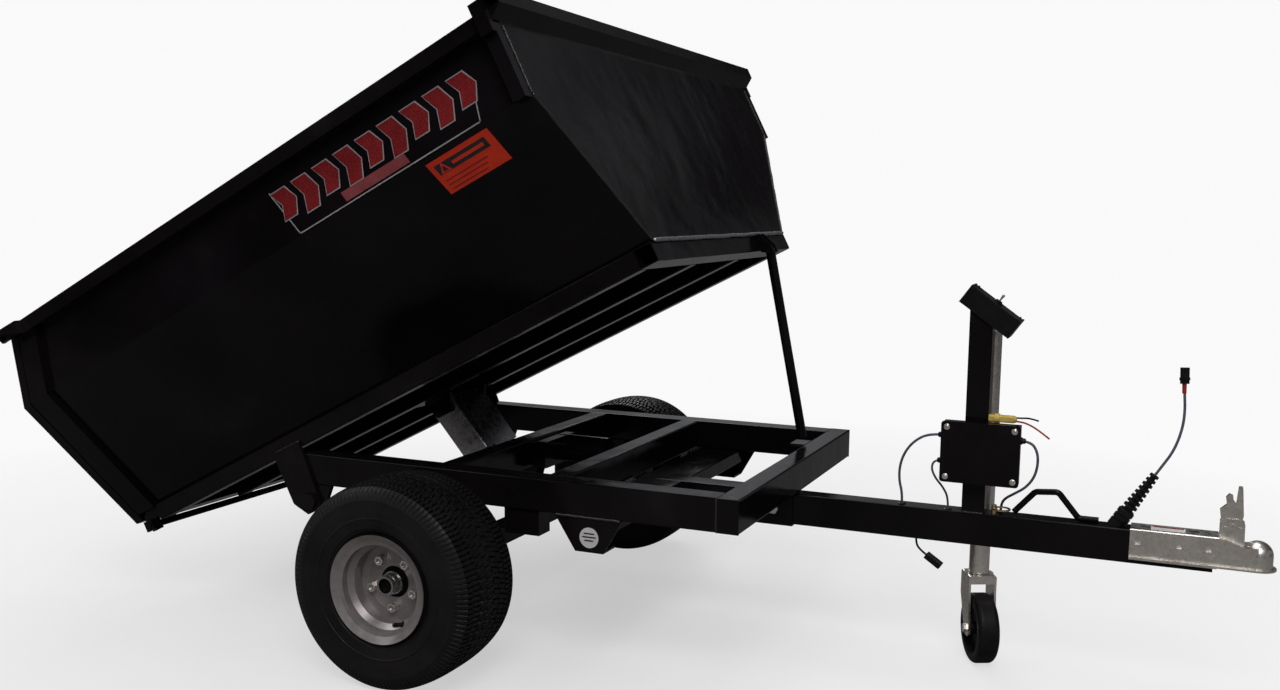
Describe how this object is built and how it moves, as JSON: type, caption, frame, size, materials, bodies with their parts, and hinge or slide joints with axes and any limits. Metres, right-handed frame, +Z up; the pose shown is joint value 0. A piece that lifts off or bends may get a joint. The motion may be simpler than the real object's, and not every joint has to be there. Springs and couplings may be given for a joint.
{
  "type": "tow behind dump cart",
  "caption": "Two-wheel tow behind dump cart, black steel bed raised on its rear hinge, electric lift, ball coupler, tongue jack with caster and a switch mast.",
  "frame": {"origin": "on the ground under the middle of the axle, on the centre line", "axes": "+X forward to the coupler, +Y to the cart's left, +Z up"},
  "size_m": [2.8669, 1.56, 1.4809],
  "materials": {
    "gloss_black": "gloss black powder coat",
    "silver_paint": "silver wheel enamel",
    "zinc": "bright zinc plate",
    "bare_steel": "oiled steel",
    "aluminium_housing": "brushed",
    "tyre_rubber": "moulded tread",
    "caster_rubber": "smooth rubber",
    "black_rubber": "satin",
    "black_plastic": "satin",
    "yellow_plastic": "semi-gloss",
    "red_plastic": "wire insulation"
  },
  "bodies": {
    "chassis": {"chassis_rails": "gloss_black", "front_crossmember": "gloss_black", "hanger_crossmember": "gloss_black", "middle_crossmember": "gloss_black", "rear_crossmember": "gloss_black", "hanger_gussets": "gloss_black", "axle": "gloss_black", "axle_brackets": "gloss_black", "bed_hinge_pins": "zinc", "receiver": "gloss_black", "drawbar": "gloss_black", "drawbar_bolts": "zinc", "coupler_body": "zinc", "coupler_bolts": "zinc", "mast": "gloss_black", "switch_box": "black_plastic", "control_box": "gloss_black", "cover_screws": "zinc", "jack_sleeve": "zinc", "tongue_handle": "gloss_black", "lynch_pin": "zinc", "cable_boot": "black_rubber", "supply_cable": "black_rubber", "motor_cable": "black_rubber", "switch_cable": "black_rubber", "harness_cable": "black_rubber", "harness_plug": "black_plastic", "pigtail_cable": "black_rubber", "pigtail_plug": "black_plastic", "fuse_holder": "yellow_plastic", "fuse_wire_black": "black_rubber", "fuse_wire_red": "red_plastic", "drive_motor": "gloss_black"},
    "bed": {"bed_tray": "gloss_black", "front_wall": "gloss_black", "rear_frame": "gloss_black", "top_rails": "gloss_black", "floor_rails": "gloss_black", "floor_tube_front": "gloss_black", "bed_hinge_plates": "gloss_black", "actuator_clevis": "gloss_black"},
    "gate": {"tailgate": "gloss_black"},
    "gate_latch_bar": {"gate_latch": "gloss_black"},
    "prop": {"prop_bar": "gloss_black"},
    "lift_housing": {"actuator_housing": "aluminium_housing"},
    "lift_rod": {"actuator_rod": "bare_steel"},
    "wheel_right": {"tyre_right": "tyre_rubber", "rim_right": "silver_paint", "hub_right": "zinc", "lug_nuts_right": "zinc"},
    "wheel_left": {"tyre_left": "tyre_rubber", "rim_left": "silver_paint", "hub_left": "zinc", "lug_nuts_left": "zinc"},
    "jack": {"jack_inner": "zinc"},
    "caster": {"caster_fork": "zinc", "caster_bolt": "zinc"},
    "caster_roller": {"caster_wheel": "caster_rubber"},
    "coupler_lock": {"coupler_latch": "zinc"},
    "toggle": {"toggle_lever": "zinc"}
  },
  "joints": [
    {"name": "bed_tilt", "type": "hinge", "parent": "chassis", "child": "bed", "pos_m": [-0.377, 0, 0.339], "axis": [0, -1, 0], "range_deg": [-26.8, 0]},
    {"name": "lift_swing", "type": "hinge", "parent": "bed", "child": "lift_housing", "pos_m": [-0.24181, 0, 0.52604], "axis": [0, -1, 0], "range_deg": [-0.5, 27.3]},
    {"name": "lift_extend", "type": "slide", "parent": "lift_housing", "child": "lift_rod", "axis": [0.6534, 0, -0.757], "range_m": [-0.108, 0.0005]},
    {"name": "prop_swing", "type": "hinge", "parent": "bed", "child": "prop", "pos_m": [0.57214, 0.225, 0.95737], "axis": [0, -1, 0], "range_deg": [-0.5, 190.3]},
    {"name": "gate_swing", "type": "hinge", "parent": "bed", "child": "gate", "pos_m": [-1.0535, 0, 0.74006], "axis": [0, -1, 0], "range_deg": [-70, 0]},
    {"name": "gate_latch_turn", "type": "hinge", "parent": "bed", "child": "gate_latch_bar", "pos_m": [-0.91359, 0, 0.21359], "axis": [0, -1, 0], "range_deg": [-60, 0]},
    {"name": "wheel_right_spin", "type": "hinge", "parent": "chassis", "child": "wheel_right", "pos_m": [0, -0.6135, 0.235], "axis": [0, 1, 0], "continuous": true},
    {"name": "wheel_left_spin", "type": "hinge", "parent": "chassis", "child": "wheel_left", "pos_m": [0, 0.6135, 0.235], "axis": [0, 1, 0], "continuous": true},
    {"name": "jack_raise", "type": "slide", "parent": "chassis", "child": "jack", "axis": [0, 0, 1], "range_m": [-0.12, 0.065]},
    {"name": "caster_swivel", "type": "hinge", "parent": "jack", "child": "caster", "pos_m": [1.167, 0.0595, 0.2], "axis": [0, 0, 1], "continuous": true},
    {"name": "caster_spin", "type": "hinge", "parent": "caster", "child": "caster_roller", "pos_m": [1.1784, 0.03613, 0.0825], "axis": [0.8988, 0.4384, 0], "continuous": true},
    {"name": "coupler_latch_turn", "type": "hinge", "parent": "chassis", "child": "coupler_lock", "pos_m": [1.703, 0, 0.4], "axis": [0, -1, 0], "range_deg": [-60, 0]},
    {"name": "toggle_rock", "type": "hinge", "parent": "chassis", "child": "toggle", "pos_m": [1.19094, -0.002, 0.86054], "axis": [0, -1, 0], "range_deg": [-14, 14], "stiffness_Nm_per_rad": 0.05}
  ],
  "couplings": [
    {"joint": "lift_swing", "follows": "bed_tilt", "ratio": -1},
    {"joint": "lift_extend", "follows": "bed_tilt", "m_per_rad": 0.22854},
    {"joint": "prop_swing", "follows": "bed_tilt", "ratio": -7.0622}
  ]
}
